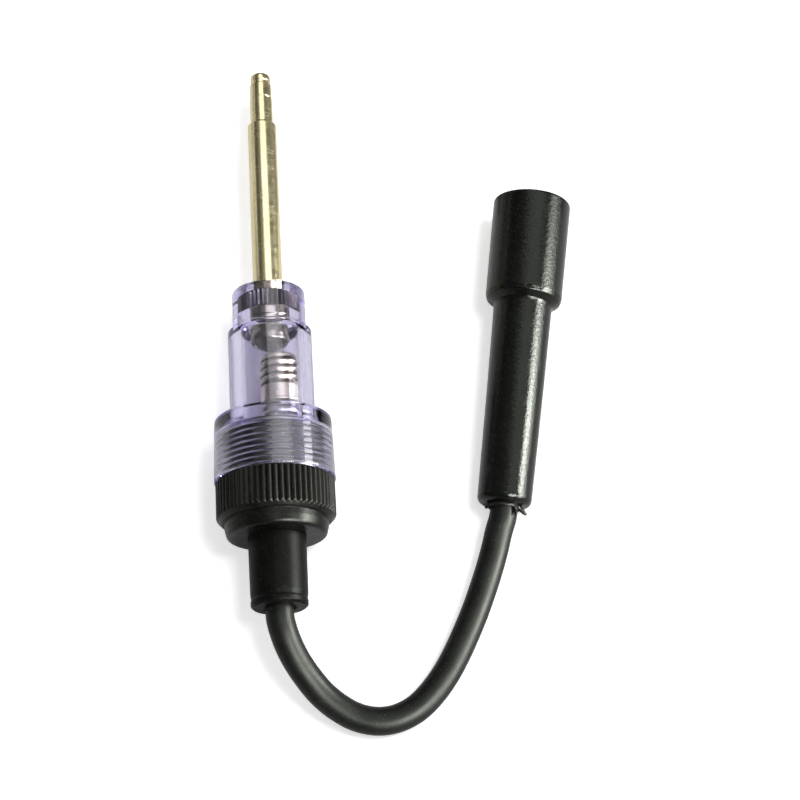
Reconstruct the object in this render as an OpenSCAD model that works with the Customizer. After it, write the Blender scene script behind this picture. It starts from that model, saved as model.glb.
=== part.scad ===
// In-line spark plug tester. It lies on its side on a table: the body's axis runs along +Y with the
// brass rod at the far end, X is to the right, and the short lead curls round to a rubber plug boot.
// Stations along the body are measured from the joint between the clear housing and the black cap.

/* [Terminal rod] */
// Diameter of the plain rod, a quarter inch
rod_d = 6.35; // [5:0.05:7.5]
// Bare rod between the collar and the shoulder of the tip
rod_length = 41.2; // [20:0.1:80]
// Chamfer where the rod steps down to the tip
rod_chamfer = 0.5; // [0.1:0.1:0.6]
// Diameter of the tip
tip_d = 5; // [4.5:0.05:5.2]
// Length of the tip, from the shoulder of the rod to its end
tip_length = 12.4; // [10.5:0.1:20]
// Step from the tip in to the band near its end
band_step = 0.1; // [0.05:0.05:0.3]
// Length of that band
band_length = 3.5; // [2:0.1:5]
// Step from the band in to the rounded head
head_step = 0.2; // [0:0.05:0.4]
// Length of the head beyond the snap groove
head_length = 1.7; // [1.5:0.1:4]
// Rounding at the end of the head
head_round = 1.4; // [0.5:0.1:1.5]
// Depth of the snap groove below the head
groove_depth = 0.15; // [0.1:0.05:0.4]
// Width of the snap groove
groove_width = 0.8; // [0.6:0.1:2]
// Diameter of the shank that the collar holds
shank_d = 8; // [7.6:0.1:9]
// Collar left above the shank
shank_cover = 1; // [0.6:0.1:2]
// Depth of the neck in the rod that the collar grips there
grip_depth = 0.2; // [0.1:0.05:0.4]
// Length of the knurled part of the shank
shank_knurl_length = 3.8; // [2:0.1:4.5]
// Ribs round the knurled part
shank_ribs = 30; // [16:1:40]
// Depth of the grooves between those ribs
shank_rib_depth = 0.35; // [0.1:0.05:0.5]
// Width of the ring groove below the knurl
shank_groove_width = 0.8; // [0.4:0.1:1.2]
// Plain ring between the knurl and the ring groove
shank_ring_length = 1.9; // [1:0.1:2.2]
// How far the straight nose stands out of the roof of the chamber
nose_length = 3.4; // [1.5:0.1:4]
// Height of the cone at the end of the nose
cone_height = 1.9; // [1:0.1:2.5]
// Diameter of the flat on the end of the cone
cone_tip_d = 1; // [0.6:0.1:2]

/* [Clear housing] */
// Diameter of the lamp chamber
chamber_d = 17.7; // [15.5:0.1:21]
// Length of the lamp chamber outside
chamber_length = 20.2; // [19.5:0.1:30]
// Bore of the lamp chamber
bore_d = 12.2; // [10.5:0.1:14]
// How far below the outer shoulder the straight bore ends
bore_stop = 0.9; // [0.5:0.1:2]
// Height of the cone at the end of the bore
bore_cone_height = 1.3; // [0.8:0.1:2]
// Step from the chamber in to the collar round the rod
collar_step = 1.1; // [0.7:0.1:2]
// Length of the collar
collar_length = 9; // [8:0.1:14]
// Diameter at the top of the flange
flange_d = 24.4; // [22:0.1:32]
// How far the flange widens down to its open rim
rim_swell = 0.3; // [0.1:0.05:0.8]
// Height of the straight band at the rim
rim_band = 0.6; // [0.2:0.1:2]
// Wall of the flange round the screwed joint
flange_wall = 1.7; // [1.2:0.1:2.5]
// Length of the flange
flange_length = 13.2; // [11.5:0.1:18]
// Depth of the threaded bore in the flange
socket_depth = 10.4; // [8.5:0.1:11]
// Rounding of the outer edges
housing_round = 0.6; // [0.2:0.1:0.9]

/* [Lamp] */
// Gap between the loose lamp and the wall that it leans on
lamp_side_gap = 0.3; // [0.2:0.05:1]
// Gap between the contact of the lamp and the cone of the rod
contact_gap = 0.1; // [0.05:0.01:0.3]
// Radius of the domed solder contact
contact_r = 1.3; // [0.8:0.1:1.6]
// Height of the dark glass insulator above the shell
insulator_height = 0.45; // [0.3:0.05:1]
// Diameter of the insulator at the shell
insulator_d = 4.4; // [3.8:0.1:5]
// Diameter of the shell at the root of its rolled thread
shell_d = 7.5; // [6.7:0.1:8.4]
// Width of the rolled ridge
ridge_d = 0.9; // [0.6:0.1:1]
// Height of the ridge above the root
ridge_height = 0.4; // [0.3:0.05:0.45]
// Pitch of the rolled ridge
ridge_pitch = 1.68; // [1.5:0.02:1.8]
// Turns of the rolled ridge
ridge_turns = 3.25; // [2:0.25:3.25]
// Rounding at the top of the shell
shell_round = 1.2; // [0.6:0.1:1.4]
// Length of the threaded part of the shell, below its rounding
shell_thread_length = 5.7; // [5.4:0.1:7]
// Step from the root of the thread out to the plain collar under it
skirt_step = 0.2; // [0.1:0.05:0.4]
// Length of the plain collar
skirt_length = 3.4; // [2:0.1:4]
// Step from the collar out to the rim that the spring presses on
rim_step = 0.2; // [0.1:0.05:0.4]
// Thickness of that rim
rim_length = 0.4; // [0.3:0.05:0.8]
// Thickness of the sheet that the shell is pressed from
shell_wall = 0.4; // [0.3:0.05:0.5]
// Gap between the glass bulb and the inside of the shell
bulb_gap = 0.85; // [0.6:0.05:1]
// Length of the glass bulb
bulb_length = 16.5; // [12:0.1:18]
// Thickness of the glass
glass_wall = 0.5; // [0.3:0.05:0.6]
// Diameter of each electrode
electrode_d = 0.9; // [0.6:0.05:1]
// Length of each electrode
electrode_length = 7; // [4:0.1:8]
// Diameter of the wires that carry the electrodes
electrode_wire_d = 0.5; // [0.3:0.05:0.6]
// Distance between the electrodes
electrode_spacing = 1.7; // [1.5:0.05:1.9]

/* [Lamp spring] */
// Diameter of the spring wire
wire_d = 1.1; // [0.8:0.05:1.2]
// How far the spring lies inside the edge of the rim
spring_inset = 0.05; // [0:0.05:0.3]
// Turns of the spring
spring_turns = 6.25; // [5:0.125:6.25]

/* [Knurled cap] */
// How far the ribs stand out past the top of the flange
knurl_proud = 0.05; // [0:0.05:0.5]
// Length of the knurled ring
knurl_length = 8.8; // [6:0.1:12]
// Ribs round the ring
knurl_ribs = 60; // [40:1:72]
// Depth of the grooves between the ribs
knurl_depth = 0.45; // [0.2:0.05:0.6]
// Chamfer at the lower edge of the ring
knurl_chamfer = 1; // [0.4:0.1:1.2]
// Step from the ribs in to the plain lip below the ring
lip_step = 1.65; // [1.3:0.05:3]
// Length of the lip
lip_length = 2.7; // [2:0.1:5]
// Rounding at the lower edge of the lip
lip_round = 1; // [0.3:0.1:1.5]
// Radial clearance of the screwed joint
thread_clearance = 0.1; // [0.05:0.05:0.3]
// Gap between the end of the spigot and the floor of the flange
spigot_end_gap = 0.8; // [0.3:0.1:2]
// Step from the bore of the chamber out to the bore of the spigot
bore_step = 0.1; // [0:0.05:0.6]

/* [Neck sleeve] */
// Diameter of the sleeve at the cap
sleeve_d = 11.9; // [11:0.1:14]
// Diameter of the sleeve at its free end
sleeve_end_d = 11.6; // [10.5:0.1:13]
// Length of the sleeve outside the cap
sleeve_length = 15.2; // [10:0.1:25]
// Chamfer at the free end
sleeve_chamfer = 0.5; // [0.2:0.1:1]
// Diameter of the plug of the sleeve inside the cap
plug_d = 9; // [8:0.1:10]
// Length of that plug
plug_length = 6; // [3:0.1:6.5]

/* [Lead] */
// Diameter of the lead
lead_d = 5.75; // [5:0.05:6]
// Diameter of the conductor
core_d = 1.8; // [1:0.1:2.4]
// Radial clearance round the lead in its bores
lead_clearance = 0.12; // [0.05:0.01:0.3]
// Radial clearance round the conductor
core_clearance = 0.12; // [0.1:0.01:0.2]

/* [Lead terminal] */
// Station of the face that the spring stands on
seat_station = 5.5; // [5:0.1:7]
// Thickness of the contact disc
disc_thickness = 1.2; // [0.8:0.1:2]
// Radial clearance of the disc in the spigot
disc_clearance = 0.15; // [0.05:0.05:0.4]
// Length of the crimped barrel
crimp_length = 8; // [5:0.1:9]
// Wall of the crimped barrels
crimp_wall = 0.5; // [0.3:0.05:0.6]

/* [Plug boot] */
// Length of the boot
boot_length = 68.7; // [64:0.1:80]
// Diameter of the wide end at its shoulder
shoulder_d = 16.4; // [14.8:0.1:20]
// How far the wide end flares out to the mouth
mouth_flare = 0.2; // [0:0.05:0.8]
// Length of the wide end
wide_length = 21.9; // [20:0.1:26]
// Length of the shoulder
shoulder_length = 2.2; // [1.5:0.1:4]
// Diameter of the narrow part at the shoulder
neck_d = 12.5; // [12:0.1:14]
// Diameter of the narrow part at the tail
tail_d = 11.35; // [10.8:0.05:12.4]
// Rounding of the outer edges
boot_round = 1.1; // [0.4:0.1:1.3]
// Bore of the mouth, which goes over the plug insulator
mouth_bore_d = 10.8; // [10:0.1:12]
// Depth of that bore
mouth_bore_depth = 19.5; // [15:0.1:20]
// Lead-in chamfer at the mouth
mouth_chamfer = 0.6; // [0.3:0.1:1]
// Radial clearance round the ring of the socket terminal
terminal_clearance = 0.13; // [0.05:0.01:0.4]
// Direction of the boot in plan, from the axis of the body
boot_heading = 9.6; // [5:0.1:15]

/* [Boot liner] */
// Diameter of the liner round the lead
liner_d = 8.4; // [7.8:0.1:9]
// Length of the liner inside the boot
liner_length = 11; // [6:0.1:16]
// How far the liner stands out of the tail
liner_out = 1.3; // [0.5:0.1:3]

/* [Socket terminal] */
// Bore of the snap socket, over a quarter-inch plug nut
socket_d = 6.6; // [6:0.05:7.4]
// Wall of the socket
socket_wall = 0.6; // [0.5:0.05:0.65]
// Length of the socket
socket_length = 9; // [7:0.1:10]
// Thickness of the web between the socket and the crimp
web_thickness = 0.8; // [0.5:0.1:1.2]
// How far the socket lies below the floor of the mouth bore
socket_inset = 3.5; // [2.5:0.1:6]
// Width of the two slots in the socket
slot_width = 0.8; // [0.5:0.1:1]
// Length of the slots
slot_length = 6.5; // [4:0.1:6.9]
// Wire diameter of the snap ring
ring_wire_d = 0.7; // [0.5:0.05:0.8]
// Depth of the groove that holds the ring
ring_groove_depth = 0.3; // [0.2:0.05:0.35]
// Distance of the ring from the mouth of the socket
ring_place = 3; // [2:0.1:4]
// Opening of the ring, in degrees
ring_gap_angle = 60; // [30:5:120]

/* [Hidden] */
$fn = 64;
fit = 0.02;

// Stations along the axis of the body
flange_top = flange_length;
shoulder_station = flange_top + chamber_length;
collar_top = shoulder_station + collar_length;
rod_shoulder = collar_top + rod_length;
tip_end = rod_shoulder + tip_length;
head_start = tip_end - head_length;
band_end = head_start - groove_width;
band_start = band_end - band_length;
shank_top = collar_top - shank_cover;
knurl_end = shank_top - shank_knurl_length;
ring_end = knurl_end - shank_ring_length;
bore_end = shoulder_station - bore_stop;
nose_end = bore_end + bore_cone_height - nose_length;
cone_end = nose_end - cone_height;
cap_lip = -knurl_length;
cap_bottom = cap_lip - lip_length;
sleeve_end = cap_bottom - sleeve_length;
body_middle = (tip_end + sleeve_end) / 2;

// Diameters that follow the tip, the flange, the chamber and the screwed joint between the housing and the cap
band_d = tip_d - 2 * band_step;
head_d = band_d - 2 * head_step;
groove_d = head_d - 2 * groove_depth;
head_curve = min(head_round, head_length - 0.2, head_d / 2 - 0.2);
flange_rim_d = flange_d + 2 * rim_swell;
collar_d = chamber_d - 2 * collar_step;
socket_bore_d = flange_d - 2 * flange_wall;
spigot_d = socket_bore_d - 2 * thread_clearance;
spigot_length = socket_depth - spigot_end_gap;
spigot_bore_d = bore_d + 2 * bore_step;
knurl_d = flange_d + 2 * knurl_proud;
lip_d = knurl_d - 2 * lip_step;
axis_height = max(flange_rim_d, knurl_d) / 2;

// The lamp leans to one side of its bore, and its contact touches the flank of the cone
shell_crest_d = shell_d + 2 * ridge_height;
skirt_d = shell_d + 2 * skirt_step;
rim_d = skirt_d + 2 * rim_step;
spring_d = rim_d - 2 * spring_inset;
bulb_d = shell_d - 2 * shell_wall - 2 * bulb_gap;
shell_top_round = min(shell_round, (shell_d - insulator_d) / 2 - 0.1);
lamp_lean = bore_d / 2 - max(shell_crest_d, rim_d, spring_d) / 2 - lamp_side_gap;
cone_angle = atan2(cone_height, (shank_d - cone_tip_d) / 2);
cone_at_lamp = cone_end + max(0, lamp_lean - cone_tip_d / 2) * tan(cone_angle);
contact_station = cone_at_lamp - (contact_r + contact_gap) / cos(cone_angle);
shell_top = contact_station - insulator_height;
thread_top = shell_top - shell_top_round;
skirt_top = thread_top - shell_thread_length;
rim_top = skirt_top - skirt_length;
lamp_bottom = rim_top - rim_length;
bulb_top = thread_top - shell_wall;
bulb_bottom = bulb_top - bulb_length;

// The spring fills the space between the contact disc and the rim of the lamp
coil_r = (spring_d - wire_d) / 2;
coil_gap = 0.05;
coil_start = seat_station + wire_d / 2 + coil_gap;
coil_rise = lamp_bottom - seat_station - wire_d - 2 * coil_gap;
coil_rings = 8;

// The lead ends in the crimped barrel at one end and in the socket terminal at the other
lead_bore_r = lead_d / 2 + lead_clearance;
core_bore_r = core_d / 2 + core_clearance;
crimp_r = lead_bore_r + crimp_wall;
disc_bottom = seat_station - disc_thickness;
end_gap = 0.1;
jacket_start = disc_bottom - end_gap;
socket_mouth = boot_length - mouth_bore_depth - socket_inset;
socket_floor = socket_mouth - socket_length;
web_bottom = socket_floor - web_thickness;
crimp_end = web_bottom - crimp_length;
jacket_end = web_bottom - end_gap;
socket_r = socket_d / 2 + socket_wall;
ring_r = socket_r - ring_groove_depth + ring_wire_d / 2 + fit;
terminal_bore_d = 2 * (ring_r + ring_wire_d / 2 + terminal_clearance);

// The boot lies on the table on its tail and on the edge of its wide end
wide_start = boot_length - wide_length;
neck_start = wide_start - shoulder_length;
mouth_d = shoulder_d + 2 * mouth_flare;
tail_round = min(boot_round, (tail_d - liner_d) / 2 - 0.3);
boot_tilt = asin((shoulder_d - tail_d) / 2 / wide_start);
boot_tail = [47, -40.3, tail_d / 2 * cos(boot_tilt)];

// Free run of the lead, from the neck sleeve round to the tail of the boot
lead_route = [
    [0, -63.3, 12.5], [0.5, -65.8, 12], [1.5, -68.8, 10.8], [3, -71.8, 9.3], [5, -74.8, 7.6],
    [7.5, -77.8, 6], [10.5, -80.3, 4.7], [14, -82.3, 3.7], [18, -83.3, 3.2], [22, -83, 3],
    [26, -81.3, 3], [29.4, -78.4, 3], [32.5, -74.6, 3], [35, -70.6, 3], [37.3, -66.3, 3.1],
    [39.4, -62, 3.3], [41.3, -57.6, 3.6], [43, -53.3, 4], [44.4, -49.3, 4.5], [45.5, -45.7, 5]
];
lead_sides = 12;
core_sides = 8;

// Points on a quarter or other part of a circle, for a profile of radius and station
function arc(centre, r, from, to, steps = 6) = [
    for (i = [0:steps])
        let (a = from + (to - from) * i / steps)
        centre + r * [cos(a), sin(a)]
];

function unit(v) = v / norm(v);

// Direction of a line of points at one of them
function heading(points, i) = unit(points[min(i + 1, len(points) - 1)] - points[max(i - 1, 0)]);

// Points of a ring square to the line at one of its points
function ring_at(points, i, r, sides) =
    let (t = heading(points, i), s = unit(cross(t, [0, 0, 1])), n = cross(s, t))
    [for (k = [0:sides - 1]) points[i] + r * (cos(360 * k / sides) * s + sin(360 * k / sides) * n)];

function rings_along(points, r, sides) = [for (i = [0:len(points) - 1]) each ring_at(points, i, r, sides)];

// Triangles between neighbouring rings that start at a point number
function wall_faces(rings, sides, first, inward) = [
    for (i = [0:rings - 2], k = [0:sides - 1])
        let (a = first + i * sides + k)
        let (b = first + i * sides + (k + 1) % sides)
        each inward
            ? [[a, a + sides, b], [b, a + sides, b + sides]]
            : [[a, b, a + sides], [b, b + sides, a + sides]]
];

// Triangles between two rings of the same end
function end_faces(sides, outer, inner, far) = [
    for (k = [0:sides - 1])
        let (a = outer + k, b = outer + (k + 1) % sides, c = inner + k, d = inner + (k + 1) % sides)
        each far ? [[a, b, c], [b, d, c]] : [[a, c, b], [b, c, d]]
];

function fan_faces(sides, first, far) = [
    for (k = [1:sides - 2]) far ? [first, first + k, first + k + 1] : [first, first + k + 1, first + k]
];

module swept_rod(points, r, sides) {
    rings = len(points);
    last = (rings - 1) * sides;
    polyhedron(
        points = rings_along(points, r, sides),
        faces = concat(
            wall_faces(rings, sides, 0, false),
            fan_faces(sides, 0, false),
            fan_faces(sides, last, true)
        ),
        convexity = 8
    );
}

module swept_tube(points, r_out, r_in, sides) {
    rings = len(points);
    inner = rings * sides;
    last = (rings - 1) * sides;
    polyhedron(
        points = concat(rings_along(points, r_out, sides), rings_along(points, r_in, sides)),
        faces = concat(
            wall_faces(rings, sides, 0, false),
            wall_faces(rings, sides, inner, true),
            end_faces(sides, 0, inner, false),
            end_faces(sides, last, inner + last, true)
        ),
        convexity = 8
    );
}

// A point that climbs round the lamp's axis, with its angle in turns
function helix_point(r, turn, z) = [r * cos(360 * turn), r * sin(360 * turn), z];

// Places a shape drawn with its stations along Z on the axis of the body
module on_axis() {
    translate([0, -body_middle, axis_height])
        rotate([-90, 0, 0])
            children();
}

module on_lamp_axis() {
    on_axis()
        translate([lamp_lean, 0, 0])
            children();
}

// Places a shape drawn from the tail of the boot towards its mouth
module on_boot_axis() {
    translate(boot_tail)
        rotate([boot_tilt - 90, 0, -boot_heading])
            children();
}

function axis_point(station) = [0, station - body_middle, axis_height];

function boot_point(along) = boot_tail + along * [
    sin(boot_heading) * cos(boot_tilt),
    cos(boot_heading) * cos(boot_tilt),
    sin(boot_tilt)
];

// Straight V grooves round a cylinder, from one station to another
module rib_grooves(d, depth, count, from, to) {
    half = 0.34 * PI * d / count;
    for (i = [0:count - 1])
        rotate([0, 0, 360 * (i + 0.5) / count])
            translate([0, 0, from])
                linear_extrude(to - from)
                    polygon([[d / 2 - depth, 0], [d / 2 + depth, -2 * half], [d / 2 + depth, 2 * half]]);
}

// Turned brass rod with a snap tip, and a knurled shank that the collar holds
module terminal_rod() {
    rod_r = rod_d / 2;
    shank_r = shank_d / 2;
    edge = 0.3;
    tip_edge = 0.1;
    color("darkkhaki")
        on_axis()
            difference() {
                rotate_extrude()
                    polygon(concat(
                        [
                            [0, cone_end],
                            [cone_tip_d / 2, cone_end],
                            [shank_r - edge, nose_end - edge * tan(cone_angle)],
                            [shank_r, nose_end + edge],
                            [shank_r, ring_end - shank_groove_width],
                            [shank_r - shank_rib_depth, ring_end - shank_groove_width],
                            [shank_r - shank_rib_depth, ring_end],
                            [shank_r, ring_end],
                            [shank_r, shank_top],
                            [rod_r - grip_depth, shank_top],
                            [rod_r - grip_depth, collar_top],
                            [rod_r, collar_top],
                            [rod_r, rod_shoulder - rod_chamfer],
                            [max(rod_r - rod_chamfer, tip_d / 2), rod_shoulder],
                            [tip_d / 2, rod_shoulder],
                            [tip_d / 2, band_start - tip_edge],
                            [band_d / 2, band_start],
                            [band_d / 2, band_end - tip_edge],
                            [groove_d / 2, band_end],
                            [groove_d / 2, head_start],
                            [head_d / 2, head_start + tip_edge]
                        ],
                        arc([head_d / 2 - head_curve, tip_end - head_curve], head_curve, 0, 90),
                        [[0, tip_end]]
                    ));
                rib_grooves(shank_d, shank_rib_depth, shank_ribs, knurl_end, shank_top + edge);
            }
}

// Clear moulding: a collar round the rod, the lamp chamber and a threaded flange
module clear_housing() {
    bore_r = bore_d / 2;
    shank_hole_r = shank_d / 2 + fit;
    cone_top_r = max(shank_hole_r + 0.3, bore_r - bore_cone_height);
    joint_r = socket_bore_d / 2;
    joint_edge = 0.3;
    inner_fillet = 0.5;
    color("lavender", 0.5)
        on_axis()
            rotate_extrude()
                polygon(concat(
                    [
                        [joint_r + joint_edge, 0],
                        [flange_rim_d / 2, 0],
                        [flange_rim_d / 2, rim_band]
                    ],
                    arc([flange_d / 2 - housing_round, flange_top - housing_round], housing_round, 0, 90),
                    [[chamber_d / 2, flange_top]],
                    arc([chamber_d / 2 - housing_round, shoulder_station - housing_round], housing_round, 0, 90),
                    [[collar_d / 2, shoulder_station]],
                    arc([collar_d / 2 - housing_round, collar_top - housing_round], housing_round, 0, 90),
                    [
                        [rod_d / 2 - grip_depth + fit, collar_top],
                        [rod_d / 2 - grip_depth + fit, shank_top + fit],
                        [shank_hole_r, shank_top + fit],
                        [shank_hole_r, bore_end + bore_cone_height],
                        [cone_top_r, bore_end + bore_cone_height],
                        [bore_r, bore_end],
                        [bore_r, socket_depth + inner_fillet]
                    ],
                    [
                        [bore_r + inner_fillet, socket_depth],
                        [joint_r, socket_depth],
                        [joint_r, joint_edge]
                    ]
                ));
}

// Domed solder contact, with the stub that fills the insulator
module lamp_contact() {
    stub_r = contact_r * 0.6;
    color("dimgray")
        on_lamp_axis()
            rotate_extrude()
                polygon(concat(
                    [
                        [0, thread_top],
                        [stub_r, thread_top],
                        [stub_r, contact_station],
                        [contact_r, contact_station]
                    ],
                    arc([0, contact_station], contact_r, 0, 90, 8)
                ));
}

// Dark glass between the contact and the shell
module lamp_insulator() {
    hole_r = contact_r * 0.6 + fit;
    color("black")
        on_lamp_axis()
            rotate_extrude()
                polygon([
                    [hole_r, thread_top],
                    [insulator_d / 2 - fit, thread_top],
                    [insulator_d / 2 - fit, shell_top],
                    [contact_r + 0.2, contact_station],
                    [hole_r, contact_station]
                ]);
}

// The rolled ridge climbs round the shell as one right-hand thread
ridge_rings = 24;
ridge_rise = ridge_turns * ridge_pitch;
ridge_start = skirt_top + (shell_thread_length - ridge_rise) / 2;
ridge_r = shell_d / 2 + ridge_height - ridge_d / 2;
ridge_line = [
    for (i = [0:ridge_turns * ridge_rings])
        let (turn = i / ridge_rings)
        helix_point(ridge_r, turn, ridge_start + turn * ridge_pitch)
];

// Pressed metal shell of the lamp
module lamp_shell() {
    inner_r = shell_d / 2 - shell_wall;
    grip_r = bulb_d / 2 + fit;
    hole_r = insulator_d / 2;
    color("silver")
        on_lamp_axis()
            union() {
                rotate_extrude()
                    polygon(concat(
                        [
                            [grip_r, lamp_bottom],
                            [rim_d / 2, lamp_bottom],
                            [rim_d / 2, rim_top],
                            [skirt_d / 2, rim_top + (rim_d - skirt_d) / 2],
                            [skirt_d / 2, skirt_top - (skirt_d - shell_d) / 2],
                            [shell_d / 2, skirt_top]
                        ],
                        arc([shell_d / 2 - shell_top_round, thread_top], shell_top_round, 0, 90),
                        [
                            [hole_r, shell_top],
                            [hole_r, thread_top],
                            [inner_r, thread_top - 0.3],
                            [inner_r, lamp_bottom + 1],
                            [grip_r, lamp_bottom + 1]
                        ]
                    ));
                swept_rod(ridge_line, ridge_d / 2, 6);
            }
}

// Glass bulb with a rounded end, pinched solid round the electrode wires at the top
module lamp_bulb() {
    r = bulb_d / 2;
    inner_r = r - glass_wall;
    pinch = 3;
    color("whitesmoke", 0.5)
        on_lamp_axis()
            difference() {
                rotate_extrude()
                    polygon(concat(
                        [[0, bulb_bottom]],
                        arc([0, bulb_bottom + r], r, -80, 0, 8),
                        [
                            [r, bulb_top],
                            [0, bulb_top],
                            [0, bulb_top - pinch],
                            [inner_r, bulb_top - pinch - 0.6]
                        ],
                        arc([0, bulb_bottom + r], inner_r, 0, -90, 8)
                    ));
                for (side = [-1, 1])
                    translate([side * electrode_spacing / 2, 0, bulb_top - pinch - 1])
                        cylinder(d = electrode_wire_d + 2 * fit, h = pinch + 2);
            }
}

// One electrode rod in the bulb, on the wire that carries it up through the pinch
module electrode(side) {
    bottom = bulb_bottom + bulb_d / 2 + 0.5;
    color("slategray")
        on_lamp_axis()
            translate([side * electrode_spacing / 2, 0, bottom])
                rotate_extrude()
                    polygon([
                        [0, 0],
                        [electrode_d / 2, 0],
                        [electrode_d / 2, electrode_length],
                        [electrode_wire_d / 2, electrode_length],
                        [electrode_wire_d / 2, thread_top - 0.1 - bottom],
                        [0, thread_top - 0.1 - bottom]
                    ]);
}

module electrode_left() {
    electrode(-1);
}

module electrode_right() {
    electrode(1);
}

// Line of the spring wire, with a straight end one wire diameter long at both ends
coil_steps = round(spring_turns * coil_rings);
coil_curls = [
    for (i = [0:coil_steps])
        helix_point(coil_r, i / coil_rings, coil_start + coil_rise * i / coil_steps)
];
coil_first = unit([coil_curls[1].x - coil_curls[0].x, coil_curls[1].y - coil_curls[0].y, 0]);
coil_last = unit([
    coil_curls[coil_steps].x - coil_curls[coil_steps - 1].x,
    coil_curls[coil_steps].y - coil_curls[coil_steps - 1].y,
    0
]);
coil_line = concat(
    [coil_curls[0] - wire_d * coil_first],
    coil_curls,
    [coil_curls[coil_steps] + wire_d * coil_last]
);

// Least gap of the spring to itself, on points along its wire that are half a turn or more apart
coil_parts = 4;
half_turn = coil_rings * coil_parts / 2;
coil_points = [
    for (i = [0:len(coil_line) - 2], k = [0:coil_parts - 1])
        coil_line[i] + (coil_line[i + 1] - coil_line[i]) * k / coil_parts
];
last_point = len(coil_points) - 1;
coil_distances = [
    for (i = [0:last_point - half_turn], j = [i + half_turn:min(i + 3 * half_turn, last_point)])
        norm(coil_points[i] - coil_points[j])
];
echo(least_spring_gap = min(coil_distances) - wire_d);

module lamp_spring() {
    color("lightgray")
        on_lamp_axis()
            swept_rod(coil_line, wire_d / 2, 6);
}

// Contact disc with a barrel that is crimped on the end of the lead
module lead_terminal() {
    disc_r = spigot_bore_d / 2 - disc_clearance;
    color("gold")
        on_axis()
            rotate_extrude()
                polygon([
                    [core_bore_r, seat_station],
                    [disc_r, seat_station],
                    [disc_r, disc_bottom],
                    [crimp_r, disc_bottom],
                    [crimp_r, disc_bottom - crimp_length],
                    [lead_bore_r, disc_bottom - crimp_length],
                    [lead_bore_r, disc_bottom],
                    [core_bore_r, disc_bottom]
                ]);
}

// Black moulding: a spigot in the flange, a knurled ring and a plain lip
module knurled_cap() {
    spigot_r = spigot_d / 2;
    knurl_r = knurl_d / 2;
    edge = 0.4;
    barrel_end = disc_bottom - crimp_length - 0.2;
    plug_top = cap_bottom + plug_length;
    color([0.12, 0.12, 0.11])
        on_axis()
            difference() {
                rotate_extrude()
                    polygon(concat(
                        [
                            [spigot_bore_d / 2, spigot_length],
                            [spigot_bore_d / 2, disc_bottom],
                            [crimp_r + 0.1, disc_bottom],
                            [crimp_r + 0.1, barrel_end],
                            [lead_bore_r, barrel_end],
                            [lead_bore_r, plug_top],
                            [plug_d / 2 + fit, plug_top],
                            [plug_d / 2 + fit, cap_bottom]
                        ],
                        arc([lip_d / 2 - lip_round, cap_bottom + lip_round], lip_round, -90, 0),
                        [
                            [lip_d / 2, cap_lip],
                            [knurl_r - knurl_chamfer, cap_lip],
                            [knurl_r, cap_lip + knurl_chamfer],
                            [knurl_r, -edge],
                            [knurl_r - edge, 0],
                            [spigot_r, 0],
                            [spigot_r, spigot_length - edge],
                            [spigot_r - edge, spigot_length]
                        ]
                    ));
                rib_grooves(knurl_d, knurl_depth, knurl_ribs, cap_lip - 1, 1);
            }
}

// Plastic sleeve that carries the lead out of the cap
module neck_sleeve() {
    end_r = sleeve_end_d / 2;
    color([0.1, 0.1, 0.1])
        on_axis()
            rotate_extrude()
                polygon([
                    [lead_bore_r, cap_bottom + plug_length - fit],
                    [plug_d / 2, cap_bottom + plug_length - fit],
                    [plug_d / 2, cap_bottom],
                    [sleeve_d / 2, cap_bottom],
                    [end_r, sleeve_end + sleeve_chamfer],
                    [end_r - sleeve_chamfer, sleeve_end],
                    [lead_bore_r + sleeve_chamfer, sleeve_end],
                    [lead_bore_r, sleeve_end + sleeve_chamfer]
                ]);
}

// The lead runs straight in the cap and in the boot, and freely between them
lead_line = concat(
    [axis_point(jacket_start), axis_point(sleeve_end)],
    lead_route,
    [boot_point(-liner_out - 1), boot_point(jacket_end)]
);
core_line = concat(
    [axis_point(seat_station), axis_point(sleeve_end)],
    lead_route,
    [boot_point(-liner_out - 1), boot_point(socket_floor)]
);

module lead_jacket() {
    color([0.16, 0.16, 0.16])
        swept_tube(lead_line, lead_d / 2, core_bore_r, lead_sides);
}

module lead_core() {
    color("peru")
        swept_rod(core_line, core_d / 2, core_sides);
}

// Rubber boot: a wide mouth, a shoulder and a long tapered tail
module plug_boot() {
    mouth_r = mouth_d / 2;
    shoulder_r = shoulder_d / 2;
    neck_r = neck_d / 2;
    tail_r = tail_d / 2;
    terminal_r = terminal_bore_d / 2;
    mouth_floor = boot_length - mouth_bore_depth;
    color([0.08, 0.08, 0.08])
        on_boot_axis()
            rotate_extrude()
                polygon(concat(
                    [[liner_d / 2 + fit, 0]],
                    arc([tail_r - tail_round, tail_round], tail_round, -90, 0),
                    [
                        [neck_r, neck_start - 0.4],
                        [neck_r + 0.2, neck_start]
                    ],
                    arc([shoulder_r - boot_round, wide_start], boot_round, -45, 0, 4),
                    arc([mouth_r - boot_round / 2, boot_length - boot_round / 2], boot_round / 2, 0, 90),
                    [
                        [mouth_bore_d / 2 + mouth_chamfer, boot_length],
                        [mouth_bore_d / 2, boot_length - mouth_chamfer],
                        [mouth_bore_d / 2, mouth_floor],
                        [terminal_r, mouth_floor - 1],
                        [terminal_r, crimp_end],
                        [lead_bore_r, crimp_end],
                        [lead_bore_r, liner_length],
                        [liner_d / 2 + fit, liner_length]
                    ]
                ));
}

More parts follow.
